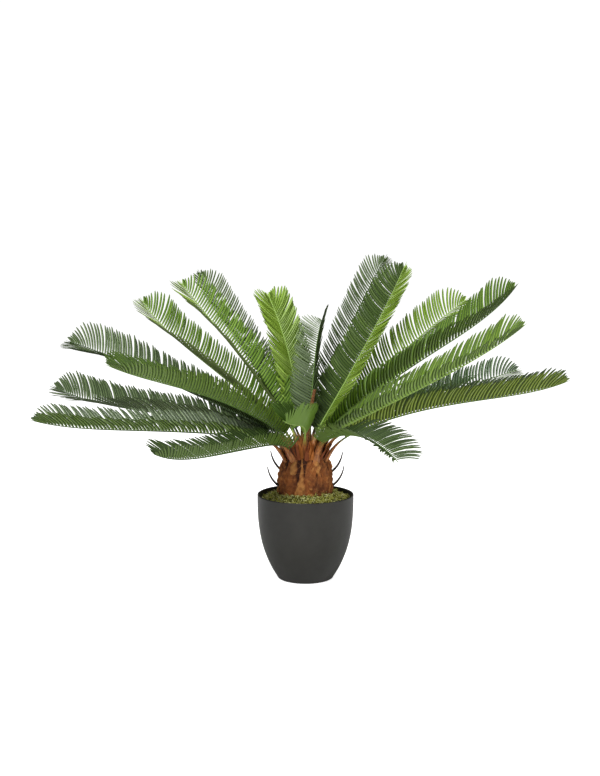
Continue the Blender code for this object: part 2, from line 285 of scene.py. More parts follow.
# ring radius, climb of a petiole before it leans out, inclination at its foot
seatRings = {
    "rim": (0.046, 0.050, 62),
    "outer": (0.045, 0.036, 84),
    "middle": (0.030, 0.044, 84),
    "tall": (0.030, 0.058, 84),
    "inner": (0.013, 0.048, 84),
}

frondForm = {
    "seed": 4100, "seatHeight": 0.2563, "petioleLength": 0.060,
    "petioleFoot": (0.0170, 0.0085),  # width and thickness of the flat sheath
    "petioleTaper": 0.037, "ribStart": (0.0042, 0.0036), "ribTip": (0.0018, 0.0016),
    "ribSunk": 0.010,  # how far the petiole's foot is let into the trunk
    "ribStep": 0.006, "ribAround": 10,
    "brown": (0.034, 0.062),  # the petiole turns from brown to green between these
    "steps": 240,
    "rollStart": 0.5,  # share of the length where the roll and the fold begin to change
    "petioleRings": 22,
    "corner": 0.8,  # power that squares the rib's section
    "ridge": 1.12,  # ridge above and keel below, as shares of half the thickness
    "belly": 0.95,
    "overshoot": 0.7,  # share of the tip leaflet that the rib runs on past the blade
    "point": 0.25,
    "ribProbe": 0.004,  # spacing of the rib points that other fronds' leaflets keep clear of
}

leafletForm = {
    "pitch": 0.0074, "leanStart": 64, "leanLoss": 8, "leanTip": 30,
    "tipZone": 0.84,  # share of the blade where the leaflets begin to shorten and close up to the tip
    "tipLoss": 0.75, "tipLeaflet": 0.022, "halfWidth": 0.0028,
    "channel": 0.40,  # depth of the groove above and of the keel below, as shares of the half width
    "keel": 0.24,
    "bend": 22,  # degrees that a leaflet curves forward
    "droop": 0.035, "twist": 12, "leanJitter": 0.7, "bunchPull": 1.6, "tipCrowding": 0.12,
    "stations": (0.0, 0.10, 0.28, 0.50, 0.72, 0.88, 0.965),
    "clear": 0.0034,  # distance that a leaflet keeps from another frond's rib
    "baseReach": 0.55,  # share of its length that the lowest leaflet has
    "reachGrowth": 0.2,  # share of the blade over which they grow to the whole
    "baseWidth": 0.5,  # width at a leaflet's root, as a share
    "rowLean": (0, 0),  # added to the lean of the two rows, and their lengths as shares
    "rowReach": (1, 1),
    "countGain": 1.05,  # more leaflets than length over pitch, as the tips crowd
    "crowdStart": 0.75, "gapJitter": 0.05, "foldJitter": 0.9, "reachJitter": 0.025, "bunch": (4, 13),
    "probes": (0.12, 1, 9),  # first and last share and count of the points tested along a leaflet
    "cutBack": 0.92,
    "shortest": 0.25,  # one that would be cut shorter than this share is left out
    "droopJitter": 0.02, "twistJitter": 3, "widthRise": 0.16,
    "tipPower": (7, 0.6),  # the width falls as (1 - s^7)^0.6 along a leaflet
    "broadBase": (0.3, 0.25),  # the lowest leaflets are wider by this share, over this share of the blade
    "narrowTip": 0.25,
    "secondShare": 0.34,
}

# ring and azimuth of the seat; azimuth and its gain to the tip; inclination at base and tip, and the lift
# of the tip; length; roll at base and tip; leaflet length; fold at base and tip; tints of the rows on the
# left and right, as seen from the trunk, and of the rib
frondColumns = ("ring", "seat", "azimuth", "gain", "base", "tip", "lift", "length", "roll", "tipRoll",
                "leaflet", "fold", "tipFold", "leftTint", "rightTint", "ribTint")
# the row tints are dealt per frond partly as the leaves' own colours and partly as painted light and shade:
# some rows take lighter or darker tints than their own, to read as lit or shaded
fronds = {
    "front_left": ("rim", 236, 228, 4, 2, -4, 28, 0.41, 0, 0, 0.062, 42, 42, "deep", "deep", "ribDeep"),
    "front": ("tall", 264, 279, -32, 32, -4, 24, 0.27, 0, 0, 0.062, 60, 52, "cup", "cup", "ribPale"),
    "front_right": ("outer", 300, 307, 0, 40, -30, 0, 0.288, 0, 0, 0.07, 28, 30, "deep", "deep", "ribMid"),
    "left_1": ("middle", 214, 218, 0, 38, 4, 20, 0.5, 0, -10, 0.07, 42, 32, "mid", "mid", "ribMid"),
    "left_2": ("rim", 198, 190, 0, 10, -4, 20, 0.528, -6, -4, 0.066, 42, 46, "mid", "grey", "ribDeep"),
    "left_3": ("outer", 170, 168, 0, 15, -2, 28, 0.538, 0, -30, 0.07, 42, 26, "grey", "grey", "ribDeep"),
    "left_4": ("middle", 176, 160, 0, 20, 22, -8, 0.578, 0, -32, 0.078, 42, 26, "deep", "grey", "ribDeep"),
    "left_5": ("middle", 142, 150, 0, 37, 25, 26, 0.506, 0, -22, 0.07, 42, 30, "pale", "fresh", "ribPale"),
    "left_6": ("inner", 192, 140, 0, 48, 36, 6, 0.494, 0, -18, 0.068, 42, 30, "pale", "fresh", "ribPale"),
    "right_6": ("middle", 314, 335, 0, 28, 28, 12, 0.53, 14, 22, 0.07, 36, 30, "lime", "fresh", "ribPale"),
    "right_5": ("rim", 346, 346, 0, 31, -6, 30, 0.525, 0, -2, 0.069, 42, 42, "deep", "olive", "ribMid"),
    "right_4": ("middle", 350, 352, 0, 48, 20, 34, 0.54, 0, 26, 0.072, 42, 40, "fresh", "mid", "ribMid"),
    "right_3": ("outer", 16, 18, 0, 22, 11, 4, 0.482, 8, 28, 0.068, 20, 14, "blue", "grey", "ribMid"),
    "right_2": ("middle", 28, 30, 0, 43, 32, -4, 0.5, 18, 26, 0.067, 36, 30, "lime", "lime", "ribPale"),
    "right_1": ("inner", 340, 42, 0, 48, 54, 4, 0.48, 20, 20, 0.06, 30, 26, "deep", "bright", "ribPale"),
    "back_1": ("inner", 120, 128, 0, 44, 36, 8, 0.535, -8, -16, 0.053, 42, 36, "deep", "deep", "ribDeep"),
    "back_2": ("middle", 100, 101, 22, 70, 46, 4, 0.376, -12, -12, 0.066, 34, 28,
               "bright", "bright", "ribPale"),
    "back_3": ("outer", 112, 105, 0, 26, 20, 0, 0.44, 0, 0, 0.068, 42, 34, "mid", "mid", "ribMid"),
    "back_4": ("outer", 86, 91, 0, 8, 2, 6, 0.46, 0, 0, 0.068, 58, 50, "mid", "deep", "ribMid"),
    "back_5": ("inner", 50, 80, 0, 85, 42, -25, 0.334, -28, -28, 0.056, 42, 42, "grey", "grey", "ribMid"),
    "back_6": ("outer", 60, 65, 0, 8, 8, 0, 0.5, 0, 0, 0.07, 42, 34, "blue", "mid", "ribMid"),
    "back_7": ("middle", 66, 66, -18, 54, 48, 0, 0.508, 20, 20, 0.053, 42, 36, "grey", "deep", "ribDeep"),
    "back_8": ("outer", 140, 134, 0, 3, -8, 6, 0.5, 0, 0, 0.07, 22, 22, "deep", "deep", "ribDeep"),
    "back_9": ("outer", 36, 42, 0, 14, 4, 8, 0.48, 0, 0, 0.07, 42, 34, "mid", "fresh", "ribMid"),
}

# fronds whose leaflets stand closer, are wider or lean otherwise than the rule says
habits = {
    "front": {"pitch": 0.0050, "halfWidth": 0.0031, "blade": 0.072, "leanJitter": 0.3, "bunchPull": 0.4,
              "tipLoss": 0.4},
    "front_left": {"pitch": 0.0070, "halfWidth": 0.0027, "blade": 0.028, "baseReach": 0.70},
    "front_right": {"pitch": 0.0050, "halfWidth": 0.0024, "blade": 0.050, "leanStart": 72, "leanTip": 10,
                    "tipLoss": 0.3, "baseReach": 0.5, "bend": 40},
    "back_2": {"pitch": 0.0058, "halfWidth": 0.0036, "leanStart": 50, "baseWidth": 0.9},
    "left_1": {"pitch": 0.0067},
    "left_3": {"pitch": 0.0062},
    "left_4": {"pitch": 0.0067},
    "back_5": {"pitch": 0.0064},
    "back_7": {"pitch": 0.0068},
    "right_1": {"pitch": 0.0064, "halfWidth": 0.0034, "baseWidth": 0.9, "bend": 30, "rowLean": (4, -8),
                "rowReach": (1.0, 0.8)},
}

# base colours of the leaflets: the usual one, one dealt to about a third of them, and the underside
leafTints = {
    "deep": ((66, 90, 28), (84, 108, 42), (78, 102, 32)),
    "grey": ((96, 114, 74), (114, 132, 92), (98, 116, 66)),
    "blue": ((62, 90, 42), (80, 108, 58), (78, 102, 50)),
    "mid": ((78, 106, 22), (96, 124, 34), (94, 122, 32)),
    "fresh": ((98, 130, 40), (116, 148, 56), (112, 142, 48)),
    "lime": ((116, 148, 44), (134, 164, 64), (134, 160, 64)),
    "bright": ((132, 164, 56), (150, 180, 80), (148, 172, 78)),
    # pale: its underside is much lighter as painted light, which lifts near rows that stand edge-on in shade
    "pale": ((134, 164, 60), (150, 178, 80), (182, 200, 120)),
    "cup": ((82, 114, 28), (96, 126, 38), (94, 124, 40)),
    "olive": ((84, 104, 18), (102, 122, 28), (116, 136, 34)),
}
# painted shade: shares of its colour that a leaflet's other half keeps, above and below
leafShade = {"upper": 0.50, "under": 0.36, "specular": 0.32}
leafRoughness = {"usual": 0.38, "second": 0.42, "shaded": 0.5, "under": 0.5, "under shaded": 0.6}
ribTints = {"ribDeep": tint(48, 74, 26), "ribMid": tint(84, 116, 38), "ribPale": tint(134, 164, 74)}
petioleTints = (tint(112, 60, 22), tint(188, 118, 50))


def frondLine(design):
    # the rib's path: the inclination runs evenly from base to tip, with a lift by the fifth power near
    # the tip and a steep start that dies away over the climb; the roll turns the blade about it
    length, base, tip, roll = design["length"], design["base"], design["tip"], design["roll"]
    radius, climb, start = seatRings[design["ring"]]
    steps = frondForm["steps"]
    share = np.linspace(0, 1, steps + 1)
    distance = share * length
    inclination = np.radians(base + (tip - base) * share + design["lift"] * share**5)
    inclination += (math.radians(start) - inclination[0]) * np.exp(-((distance / climb) ** 2))
    bearing = np.radians(design["azimuth"] + design["gain"] * share)
    forward = heading(bearing, inclination)
    foot = roundAxis(radius, math.radians(design["seat"]), frondForm["seatHeight"])
    points = walk(foot, forward, length / steps)
    across = np.stack([-np.sin(bearing), np.cos(bearing), 0 * bearing], axis=-1)
    above = np.cross(forward, across)
    turn = np.radians(roll + (design["tipRoll"] - roll) * ease(frondForm["rollStart"], 1, share))[:, None]
    side = across * np.cos(turn) + above * np.sin(turn)
    return distance, points, forward, side, above * np.cos(turn) - across * np.sin(turn)


def leafletRow(line, design, habit, sign, ribs, dice):
    # one side of a frond: leaflets at an even pitch that closes up near the tip, lean forward, fold up by
    # the frond's fold, curve towards the tip, and part a little from the next at the ends of each bunch;
    # each is cut short, or left out, where it would meet another frond's rib
    form = {**leafletForm, "blade": frondForm["petioleLength"], **habit}
    row = 0 if sign > 0 else 1
    length, size, fold, tipFold = (design[key] for key in ("length", "leaflet", "fold", "tipFold"))
    count = round((length - form["blade"]) / form["pitch"] * form["countGain"])
    gaps = 1 - form["tipCrowding"] * ease(form["crowdStart"], 1, np.linspace(0, 1, count))
    gaps = gaps + dice.uniform(-form["gapJitter"], form["gapJitter"], count)
    share = (np.cumsum(gaps) - gaps / 2) / gaps.sum()
    where = form["blade"] + share * (length - form["blade"])
    root, *axes = (along(path, line[0], where) for path in line[1:])
    ahead, outward, upward = (unit(axis) for axis in axes)
    folded = fold + (tipFold - fold) * ease(frondForm["rollStart"], 1, share)
    folded = np.radians(folded + dice.normal(0, form["foldJitter"], count))[:, None]
    spread = sign * outward * np.cos(folded) + upward * np.sin(folded)
    face = sign * np.cross(ahead, spread)
    bunch = np.repeat(np.arange(count), dice.integers(*form["bunch"], count))[:count]
    members = np.bincount(bunch)[bunch]
    middle = np.bincount(bunch, np.arange(count))[bunch] / members
    pull = (np.arange(count) - middle) / members * 2 * form["bunchPull"]
    ending = ease(form["tipZone"], 1, share)
    lean = form["leanStart"] + form["rowLean"][row] - form["leanLoss"] * share - form["leanTip"] * ending
    lean = np.radians(lean + pull + dice.normal(0, form["leanJitter"], count) + form["bend"] / 2)
    reach = size * (form["baseReach"] + (1 - form["baseReach"]) * ease(0, form["reachGrowth"], share))
    reach = reach * (1 - form["tipLoss"] * ending**2)
    reach = reach * form["rowReach"][row] * dice.normal(1, form["reachJitter"], count)
    # keep clear of the other ribs
    straight = (ahead * np.cos(lean)[:, None] + spread * np.sin(lean)[:, None]) * reach[:, None]
    marks = np.linspace(*form["probes"])
    probe = root[:, None] + straight[:, None] * marks[None, :, None]
    gap = np.sqrt(((probe[:, :, None] - ribs[None, None]) ** 2).sum(axis=3).min(axis=2))
    clear = np.minimum.accumulate(gap, axis=1) > form["clear"]
    cut = marks[np.maximum(clear.sum(axis=1) - 1, 0)] * form["cutBack"]
    free = np.where(clear.all(axis=1), 1.0, cut)
    keep = free > form["shortest"]
    root, ahead, spread, face = (each[keep][:, None] for each in (root, ahead, spread, face))
    share, lean, reach, count = share[keep], lean[keep], (reach * free)[keep], int(keep.sum())
    # centre lines
    stations = np.array([*form["stations"], 1.0])
    angle = lean[:, None] - math.radians(form["bend"]) * stations
    onward, outer = np.cos(angle)[..., None], np.sin(angle)[..., None]
    course = ahead * onward + spread * outer
    centre = walk(root, course, (np.diff(stations)[None, :] * reach[:, None])[..., None])
    sag = dice.normal(form["droop"], form["droopJitter"], count)[:, None] * reach[:, None] * stations**2
    centre = centre - face * sag[..., None]
    inPlane = spread * onward - ahead * outer
    twist = np.radians(form["twist"] + dice.normal(0, form["twistJitter"], count))[:, None, None]
    wide = inPlane * np.cos(twist) + face * np.sin(twist)
    raised = face * np.cos(twist) - inPlane * np.sin(twist)
    power, blunt = form["tipPower"]
    rise = form["baseWidth"] + (1 - form["baseWidth"]) * ease(0, form["widthRise"], stations)
    half = form["halfWidth"] * rise * (1 - stations**power) ** blunt
    extra, over = form["broadBase"]
    broad = 1 + extra * (1 - ease(0, over, share)) - form["narrowTip"] * ease(form["tipZone"], 1, share)
    half = (half * broad[:, None])[:, :-1, None]
    body, wide, raised = centre[:, :-1], wide[:, :-1], raised[:, :-1]
    corners = [body - wide * half, body - raised * half * form["channel"],
               body + wide * half, body - raised * half * (form["channel"] + form["keel"])]
    order = (0, 3, 2, 1) if sign > 0 else (0, 1, 2, 3)
    rings = np.stack([corners[index] for index in order], axis=2).reshape(count, -1, 3)
    rows = len(form["stations"])
    last = 4 * rows
    shell = np.vstack([gridFaces(rows, 4), [[3, 2, 1, 0]],
                       fanFaces(np.arange(last - 4, last), last, True)])
    # slots: upper half towards the tip 0, or 1 on a third of the leaflets; its other half 2 (painted shade);
    # below 3, 4 (painted shade)
    around = [0, 2, 4, 3] if sign < 0 else [3, 4, 2, 0]
    halves = np.concatenate([np.tile(around, rows - 1), [4], around])
    vertices = np.concatenate([rings, centre[:, -1:]], axis=1)
    second = dice.random(count) < form["secondShare"]
    slots = np.where(halves[None, :] == 0, second[:, None].astype(int), halves[None, :])
    return vertices.reshape(-1, 3), repeatFaces(shell, count, last + 1), slots.reshape(-1)


def ribTube(line, design):
    # the petiole and rib: a broad foot let into the trunk, then an even taper to a point past the blade
    form, length = frondForm, design["length"]
    bare, step = form["petioleLength"], form["ribStep"]
    where = np.concatenate([np.linspace(0, bare, form["petioleRings"]),
                            np.arange(bare + step, length, step), [length]])
    foot = np.exp(-((where / form["petioleTaper"]) ** 2))[:, None]
    share = (where / length)[:, None]
    size = np.array(form["ribStart"]) * (1 - share) + np.array(form["ribTip"]) * share
    size = (size + (np.array(form["petioleFoot"]) - size) * foot) / 2
    centre, ahead, side, top = (along(path, line[0], where) for path in line[1:])
    beyond = centre[-1:] + ahead[-1:] * leafletForm["tipLeaflet"] * form["overshoot"]
    centre = np.vstack([centre[:1] - ahead[:1] * form["ribSunk"], centre, beyond])
    side, top = np.vstack([side[:1], side, side[-1:]]), np.vstack([top[:1], top, top[-1:]])
    size = np.vstack([size[:1], size, size[-1:] * form["point"]])
    turn = evenTurn(form["ribAround"])
    # a soft square section with a ridge on top
    wide = np.sign(np.cos(turn)) * np.abs(np.cos(turn)) ** form["corner"]
    high = np.sin(turn) * np.where(np.sin(turn) > 0, form["ridge"], form["belly"])
    rings = centre[:, None] + side[:, None] * (size[:, :1] * wide)[..., None]
    rings = rings + top[:, None] * (size[:, 1:] * high)[..., None]
    far = np.concatenate([[0.0], where, [length]])
    vertices, faces = closedTube(rings)
    return vertices, faces, np.concatenate([np.repeat(far, form["ribAround"]), [0.0, length]])


def makeFronds():
    # every frond on a seed of its own: one mesh of both rows of leaflets, and one of its petiole and rib
    leafFinishes = {}
    for name, row in leafTints.items():
        usual, second, under = (tint(*colour) for colour in row)
        # each tint also gives painted-shade copies of its upper and under colours, for the leaflets' other
        # halves
        parts = {"usual": usual, "second": second, "shaded": paintShade(usual, leafShade["upper"]),
                 "under": under, "under shaded": paintShade(under, leafShade["under"])}
        leafFinishes[name] = [
            finish(f"leaflet {name} {part}", leafRoughness[part], colour, leafShade["specular"])
            for part, colour in parts.items()]
    ribFinishes = {}
    for name, colour in ribTints.items():
        made = finish(name, roughness=0.48)
        brown = addMottle(made, *petioleTints, scale=190, stretch=0.18)
        baseColour(made, addBlend(made, "distance", brown.outputs["Colour"], colour, *frondForm["brown"]))
        addBump(made, brown.outputs["Height"], distance=0.0006, strength=0.5)
        ribFinishes[name] = made
    designs = {name: dict(zip(frondColumns, row)) for name, row in fronds.items()}
    lines = {name: frondLine(design) for name, design in designs.items()}
    ribs = {name: along(line[1], line[0], np.arange(0, line[0][-1], frondForm["ribProbe"]))
            for name, line in lines.items()}
    total = 0
    for number, (name, design) in enumerate(designs.items()):
        dice = np.random.default_rng(frondForm["seed"] + number)
        others = np.vstack([points for other, points in ribs.items() if other != name])
        left, right = (leafletRow(lines[name], design, habits.get(name, {}), sign, others, dice)
                       for sign in (1, -1))
        leftFinishes, rightFinishes = leafFinishes[design["leftTint"]], leafFinishes[design["rightTint"]]
        vertices = np.vstack([left[0], right[0]])
        faces = np.vstack([left[1], np.where(right[1] < 0, -1, right[1] + len(left[0]))])
        slots = np.concatenate([left[2], right[2] + len(leftFinishes)])
        addPiece(f"leaflets_{name}", vertices, faces, leftFinishes + rightFinishes,
                 [f"frond_{name}"], slots, crease=16)
        vertices, ribFaces, far = ribTube(lines[name], design)
        addPiece(f"rib_{name}", vertices, ribFaces, [ribFinishes[design["ribTint"]]],
                 [f"frond_{name}"], values={"distance": far})
        total += (faces >= 0).sum() - 2 * len(faces)
    print("fronds:", len(fronds), "leaflet triangles:", int(total))


trunkForm = {
    "around": 540,
    "levels": 150,
    "profile": ((0.1503, 0.051), (0.166, 0.0522), (0.181, 0.053), (0.196, 0.0532), (0.211, 0.0528),
                (0.225, 0.0518), (0.237, 0.0502), (0.247, 0.0478), (0.255, 0.044), (0.261, 0.039)),
    # leaf bases: azimuth, foot and top height, half width, bulge, neck (0 blunt, 1 onion), tan share
    "bases": ((234, 0.16, 0.262, 0.0165, 0.0046, 0.1, 0.1), (259, 0.164, 0.246, 0.014, 0.0062, 1.0, 0.75),
              (281, 0.16, 0.262, 0.017, 0.005, 0.0, 0.15), (316, 0.16, 0.264, 0.0175, 0.0048, 0.1, 0.12),
              (243, 0.226, 0.268, 0.009, 0.0066, 0.4, 0.9), (299, 0.23, 0.268, 0.008, 0.006, 0.4, 0.85),
              (298, 0.166, 0.222, 0.0085, 0.004, 0.8, 0.3), (208, 0.158, 0.25, 0.0165, 0.0052, 0.3, 0.2),
              (346, 0.164, 0.258, 0.0155, 0.0052, 0.2, 0.2), (332, 0.17, 0.228, 0.008, 0.0046, 1.0, 0.5),
              (14, 0.16, 0.262, 0.0165, 0.0048, 0.0, 0.15), (33, 0.166, 0.24, 0.013, 0.006, 1.0, 0.7),
              (54, 0.16, 0.262, 0.017, 0.005, 0.1, 0.1), (86, 0.16, 0.258, 0.0165, 0.005, 0.2, 0.15),
              (104, 0.168, 0.236, 0.012, 0.0062, 1.0, 0.65), (122, 0.16, 0.262, 0.017, 0.0048, 0.0, 0.12),
              (154, 0.16, 0.26, 0.0165, 0.005, 0.2, 0.15), (176, 0.164, 0.244, 0.013, 0.006, 1.0, 0.7),
              (190, 0.2, 0.264, 0.012, 0.0052, 0.3, 0.2), (70, 0.218, 0.266, 0.009, 0.0062, 0.4, 0.8),
              (138, 0.22, 0.266, 0.009, 0.0062, 0.4, 0.8), (358, 0.222, 0.266, 0.009, 0.006, 0.4, 0.8)),
    "girth": 0.057,  # radius that turns an angle from a base's middle into a width
    "blunt": (3.2, 0.5),  # outline of a blunt base: (1 - |2c - 1|^3.2)^0.5 up its climb c
    "onion": (0.72, 0.8),  # and of an onion: sin(pi c^0.72)^0.8, drawn in to a neck, on a broad foot
    "neckLoss": 0.62, "neckZone": (0.35, 0.75), "footShare": 0.12, "footZone": (0, 0.2),
    "domePower": 0.35,
    # waves: seed, count, turns round and climbs up; how deep they are, and how wide a raised fold is
    "wanderWaves": (31, 10, (2, 9), (-90, 90)), "wander": 0.05,
    "crumpleWaves": (32, 46, (4, 30), (-520, 520)), "crumple": 0.00080,
    "feltWaves": (33, 40, (30, 110), (-1500, 1500)), "felt": 0.00022,
    "foldWaves": (35, 24, (3, 20), (-360, 360)), "fold": 0.0005, "foldWidth": 0.13,
    # painted shade: the trunk darkens in the creases between the leaf bases, where the bulge is this low,
    # less on raised folds
    "paintedShadeZone": (0.0002, 0.0030), "paintedShadeWaver": 0.0003,  # a crease shows where the bulge is this low
    "foldFade": 0.7, "tanCrumple": 0.12, "tanFold": 0.55,
    # painted shade over the cut top
    "topRings": 16, "topInner": 0.04, "topPaintedShade": 0.7, "dome": 0.010,
    "topWaves": (34, 30, (4, 22), (-6, 6)), "topClimb": 40, "topRough": 0.0011,
}
# the crease tint is painted shade, blended into the creases and over the cut top
trunkTints = {"crease": tint(62, 32, 18), "dark": tint(92, 50, 26), "light": tint(150, 88, 42),
              "tan": tint(184, 128, 70)}


def trunkSurface(angle, height):
    # radius, painted shade of the creases, and tan share at an angle and height: the profile, plus the
    # tallest of the leaf bases' bulges there, plus crumpled waves, fine felt, and thin raised folds where one
    # slow wave crosses zero
    form = trunkForm
    levels, radii = zip(*form["profile"])
    bulge, tan = np.zeros(np.broadcast(angle, height).shape), np.zeros(np.broadcast(angle, height).shape)
    wander = form["wander"] * waves(*form["wanderWaves"], angle, height)
    for azimuth, foot, top, half, rise, neck, tanShare in form["bases"]:
        climb = np.clip((height - foot) / (top - foot), 0, 1)
        blunt = (1 - np.abs(2 * climb - 1) ** form["blunt"][0]) ** form["blunt"][1]
        onion = np.sin(np.pi * climb ** form["onion"][0]) ** form["onion"][1]
        onion = onion * (1 - form["neckLoss"] * ease(*form["neckZone"], climb))
        onion = onion + form["footShare"] * ease(*form["footZone"], climb)
        reach = half * (blunt * (1 - neck) + onion * neck) + 1e-6
        off = (angle + wander - math.radians(azimuth) + math.pi) % math.tau - math.pi
        dome = np.sqrt(np.clip(1 - (off * form["girth"] / reach) ** 2, 0, 1))
        lift = rise * dome * np.sin(np.pi * np.clip(climb, 0.02, 0.98)) ** form["domePower"]
        tan = np.where(lift > bulge, tanShare * dome, tan)
        bulge = np.maximum(bulge, lift)
    crumple = waves(*form["crumpleWaves"], angle + wander, height)
    felt = waves(*form["feltWaves"], angle + wander, height)
    fold = np.exp(-((waves(*form["foldWaves"], angle + wander, height) / form["foldWidth"]) ** 2))
    radius = np.interp(height, levels, radii) + bulge
    radius = radius + form["crumple"] * crumple + form["felt"] * felt + form["fold"] * fold
    # painted shade: full where the leaf bases' bulges sink to nothing, fading as they rise and on raised
    # folds
    crease = 1 - ease(*form["paintedShadeZone"], bulge + form["paintedShadeWaver"] * crumple)
    tan = np.clip(tan + form["tanCrumple"] * crumple + form["tanFold"] * fold, 0, 1)
    return radius, crease * (1 - form["foldFade"] * fold), tan


def makeTrunk():
    # the trunk's surface in rings from the flat foot to the cut top
    form = trunkForm
    foot, top = form["profile"][0][0], form["profile"][-1][0]
    angle = evenTurn(form["around"])
    height = np.linspace(foot, top, form["levels"])[:, None]
    radius, crease, tan = trunkSurface(angle, height)
    rings = roundAxis(radius, angle, height)
    # the cut top: rings drawn in to the middle over a low dome, under painted shade
    share = np.linspace(1, form["topInner"], form["topRings"])[1:, None]
    rough = form["topRough"] * waves(*form["topWaves"], angle, share * form["topClimb"])
    inner = radius[-1] * share
    domed = top + form["dome"] * (1 - share**2) + rough * ease(1.0, 0.8, share)
    rings = np.vstack([rings, roundAxis(inner, angle, domed)])
    crease = np.vstack([crease, np.full(inner.shape, form["topPaintedShade"])])
    tan = np.vstack([tan, np.zeros(inner.shape)])
    vertices, faces = closedTube(rings)
    made = finish("trunk fibre", roughness=0.86, specular=0.25)
    brown = addMottle(made, trunkTints["dark"], trunkTints["light"], scale=48, stretch=0.8)
    tanned = addBlend(made, "tan", brown.outputs["Colour"], trunkTints["tan"], low=0.25, high=1.1)
    # the creases and the cut top blend towards the crease tint as painted shade
    baseColour(made, addBlend(made, "crease", tanned, trunkTints["crease"], low=0.15))
    felt = addMottle(made, scale=520, stretch=0.7)
    addBump(made, felt.outputs["Height"], distance=0.0014, strength=0.8)
    # painted shade at the middle of the foot and of the top
    ends = np.array([0.5, 0.8])  # crease at the middle of the foot and of the top
    addPiece("trunk_bark", vertices, faces, [made], ["trunk"],
             values={"crease": np.concatenate([crease.ravel(), ends]),
                     "tan": np.concatenate([tan.ravel(), 0 * ends])})
    print("trunk:", len(faces), "faces")


bractForm = {
    "seed": 77, "count": 90, "rows": 8, "around": 10,
    "length": (0.022, 0.050), "halfWidth": (0.0030, 0.0058),
    "spiral": 137.5,  # degrees from one scale to the next
    "spiralJitter": 14,
    "radius": (0.016, 0.0505),  # where they stand on the cut top
    "sunk": 0.002,
    "inside": (0.02, 84, 900),  # radius, inclination there, and its loss for each metre outwards
    "curl": (-10, 16),
    "cup": 0.35,
    "thickness": 0.13,
}
bractTints = ((120, 62, 28), (168, 100, 42), (70, 36, 20))


def makeBracts():
    # small pointed scales that stand round the cut top: each a curved blade, wide below and pointed above,
    # cupped towards the middle of the plant, and shorter and more upright the further in it stands
    form = bractForm
    dice = np.random.default_rng(form["seed"])
    count, rows, ring = form["count"], form["rows"], form["around"]
    jitter = dice.uniform(-form["spiralJitter"], form["spiralJitter"], count)
    azimuth = np.radians(np.arange(count) * form["spiral"] + jitter)
    radius = dice.uniform(*form["radius"], count)
    size = dice.uniform(*form["length"], count) * (0.75 + 0.25 * radius / 0.05)
    half = dice.uniform(*form["halfWidth"], count)
    foot = roundAxis(radius, azimuth, trunkForm["profile"][-1][0] - form["sunk"])
    climb = np.linspace(0, 1, rows)
    near, upright, loss = form["inside"]
    tilt = np.radians(upright - loss * (radius - near))[:, None]
    tilt = tilt + np.radians(dice.uniform(*form["curl"], count))[:, None] * climb
    course = heading(azimuth[:, None] + 0 * tilt, tilt)
    centre = walk(foot[:, None], course, (size / (rows - 1))[:, None, None])
    side = np.stack([-np.sin(azimuth), np.cos(azimuth), 0 * azimuth], axis=-1)[:, None]
    inward = np.cross(side + 0 * course, course)
    width = half[:, None] * (1 - climb**1.8) ** 0.9 * (0.8 + 0.6 * climb * (1 - climb)) + 0.0002
    turn = evenTurn(ring)
    across = np.cos(turn)
    cup = form["cup"] * across**2 + form["thickness"] * np.sin(turn)
    rings = centre[:, :, None] + side[:, :, None] * (width[..., None] * across)[..., None]
    rings = rings - inward[:, :, None] * (width[..., None] * cup)[..., None]
    ends = [rings[:, :1].mean(axis=2), rings[:, -1:].mean(axis=2)]
    vertices = np.concatenate([rings.reshape(count, -1, 3), *ends], axis=1)
    shell = tubeFaces(rows, ring)
    faces = repeatFaces(shell, count, vertices.shape[1])
    slots = np.repeat(dice.integers(0, len(bractTints), count), len(shell))
    finishes = [finish(f"bract {number}", 0.8, tint(*colour), specular=0.3)
                for number, colour in enumerate(bractTints, start=1)]
    addPiece("crown_bracts", vertices.reshape(-1, 3), faces, finishes, slots=slots)
    print("bracts:", count)


shootForm = {
    "height": 0.140, "lean": 0.019, "radius": 0.0046, "taper": 0.35, "around": 30, "rows": 150,
    "scaleRows": 3, "scaleClimb": (75, 95), "scaleDepth": (0.80, 0.46), "sunk": 0.001,
    "tints": (tint(72, 44, 26), tint(160, 108, 66)), "roughness": 0.8, "specular": 0.3,
}


def makeShoot():
    # a tapered stalk that leans to the right, rough with rows of small scales that wind up it
    form = shootForm
    share = np.linspace(0, 1, form["rows"])[:, None]
    turn = evenTurn(form["around"])
    windings = form["scaleRows"] * turn
    up, down = form["scaleClimb"]
    scales = np.abs(np.sin(windings + up * share)) * np.abs(np.sin(windings - down * share))
    low, deep = form["scaleDepth"]
    radius = form["radius"] * (1 - form["taper"] * share) * (low + deep * scales)
    base = trunkForm["profile"][-1][0] - form["sunk"]
    rings = roundAxis(radius, turn, base + form["height"] * share)
    rings[..., 0] += form["lean"] * share**1.5
    vertices, faces = closedTube(rings)
    made = mottledFinish("shoot husk", form, scale=420, stretch=0.6, bump=(0.0006, 0.6))
    addPiece("shoot_husk", vertices, faces, [made], ["centre_shoot"])
    print("shoot:", len(faces), "faces")


spineForm = {
    "feet": ((352, 0.200), (6, 0.226), (188, 0.199), (174, 0.229),
             (58, 0.204), (80, 0.229), (102, 0.202), (124, 0.224)),
    "length": 0.048, "radius": 0.0026, "taper": (0.58, 1.6), "start": 38, "curl": 46, "rows": 26,
    "around": 10, "proud": 0.0006, "sunk": 0.004,
    "tints": (tint(34, 30, 26), tint(78, 68, 54)), "roughness": 0.6, "specular": 0.4,
}


